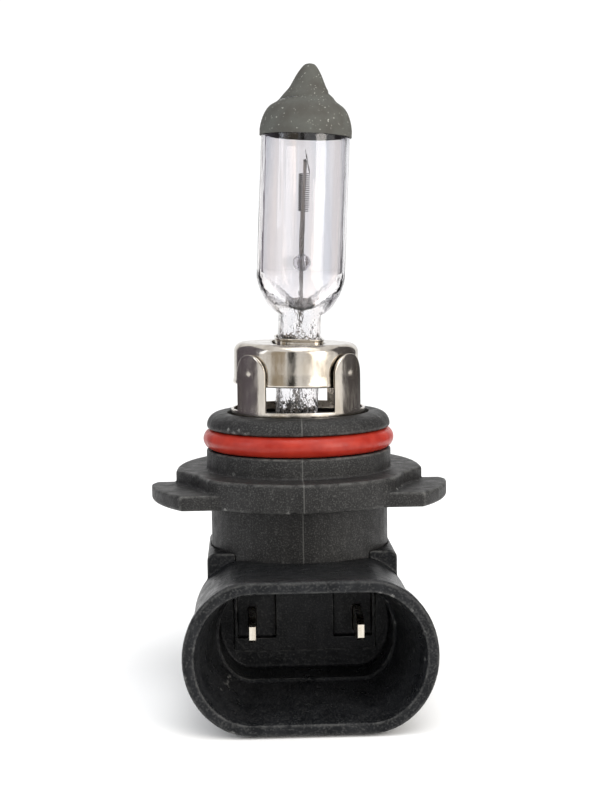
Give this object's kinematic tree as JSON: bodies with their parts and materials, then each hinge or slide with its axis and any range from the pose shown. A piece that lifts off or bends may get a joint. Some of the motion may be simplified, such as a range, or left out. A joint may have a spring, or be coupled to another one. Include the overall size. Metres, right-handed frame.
{
  "type": "headlight bulb",
  "caption": "Halogen headlight bulb: clear glass burner with a grey coated tip, metal holder, sealed plastic base with lugs and an angled two-pin connector.",
  "frame": {"origin": "on the lamp's axis, at the flat underside of the connector", "axes": "+Z along the lamp towards the glass tip, -Y out of the connector's mouth, +X to the right when looking into the mouth"},
  "size_m": [0.0352, 0.0447, 0.0716],
  "materials": {
    "quartz_glass": "clear, polished",
    "grey_coating": "matte",
    "tungsten": "drawn wire",
    "lead_wire": "drawn wire",
    "nickel_sheet": "bright, pressed",
    "tinned_copper": "satin",
    "red_silicone": "slightly glossy",
    "grey_plastic": "grained",
    "black_plastic": "fine satin",
    "compound": "matte"
  },
  "bodies": {
    "root": {"glass_envelope": "quartz_glass", "antiglare_coating": "grey_coating", "filament_coil": "tungsten", "long_support_lead": "lead_wire", "short_support_lead": "lead_wire", "lead_bead": "quartz_glass", "foil_front": "lead_wire", "foil_back": "lead_wire", "outer_lead_right": "lead_wire", "outer_lead_left": "lead_wire", "burner_can": "nickel_sheet", "pinch_clip": "nickel_sheet", "holder_ring": "nickel_sheet", "seal_ring": "red_silicone", "base_housing": "grey_plastic", "sealing_plug": "compound", "connector_housing": "black_plastic", "terminal_block": "black_plastic", "terminal_right": "tinned_copper", "terminal_left": "tinned_copper", "rear_cover": "black_plastic"}
  },
  "joints": []
}
